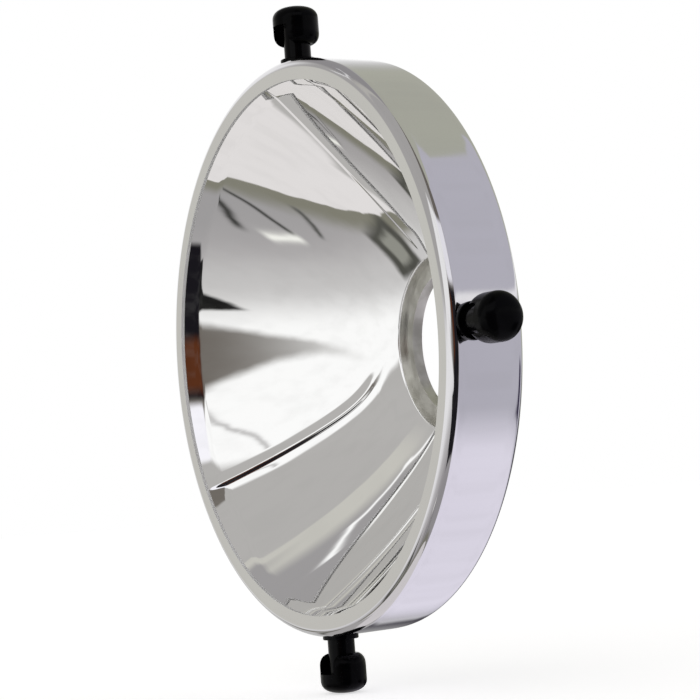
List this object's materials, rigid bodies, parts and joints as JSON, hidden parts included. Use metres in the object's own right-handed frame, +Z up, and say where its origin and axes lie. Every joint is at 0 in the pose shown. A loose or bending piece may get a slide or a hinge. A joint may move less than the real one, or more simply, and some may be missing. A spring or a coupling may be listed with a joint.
{
  "type": "headlamp reflector unit",
  "caption": "Round mirror reflector with stepped facets in a bright rim ring with ball studs, and a hinged wire clip that holds the bulb at its neck.",
  "frame": {"origin": "centre of the seat that the bulb's flange rests on, on the lamp's axis", "axes": "+Y runs backwards along the lamp's axis, the way the bulb comes out, so the bowl opens towards -Y; +Z is up, towards the top stud; +X is the right-hand side seen from the front, towards the side stud"},
  "size_m": [0.1646, 0.0556, 0.1794],
  "materials": {
    "mirror": "vacuum-metallised mirror coat under a clear lacquer",
    "ring_chrome": "bright plated sheet steel, smooth",
    "collar_metal": "die-cast zinc alloy, dull, fine grain",
    "clip_sheet": "zinc plated sheet steel, dull",
    "clip_wire": "drawn spring steel wire, bright",
    "stud_metal": "black coated steel, half gloss",
    "stud_rubber": "black moulded rubber, soft sheen",
    "fastener": "zinc plated steel, dull"
  },
  "bodies": {
    "reflector": {"reflector_bowl": "mirror", "rim_ring": "ring_chrome", "bulb_collar": "collar_metal", "clip_bracket": "clip_sheet", "clip_catch": "clip_sheet", "stud_pin_top": "stud_metal", "stud_head_top": "stud_rubber", "stud_washer_top": "fastener", "stud_base_top": "stud_metal", "stud_pin_right": "stud_metal", "stud_head_right": "stud_rubber", "stud_washer_right": "fastener", "stud_base_right": "stud_metal", "stud_pin_bottom": "stud_metal", "stud_head_bottom": "stud_rubber", "stud_washer_bottom": "fastener", "stud_base_bottom": "stud_metal", "collar_screws": "fastener", "bracket_screws": "fastener", "catch_screw": "fastener"},
    "bulb_clip": {"bulb_clip": "clip_wire"}
  },
  "joints": [
    {"name": "clip_hinge", "type": "hinge", "parent": "reflector", "child": "bulb_clip", "pos_m": [0, 0.0038, -0.032], "axis": [-1, 0, 0], "range_deg": [0, 110]}
  ]
}
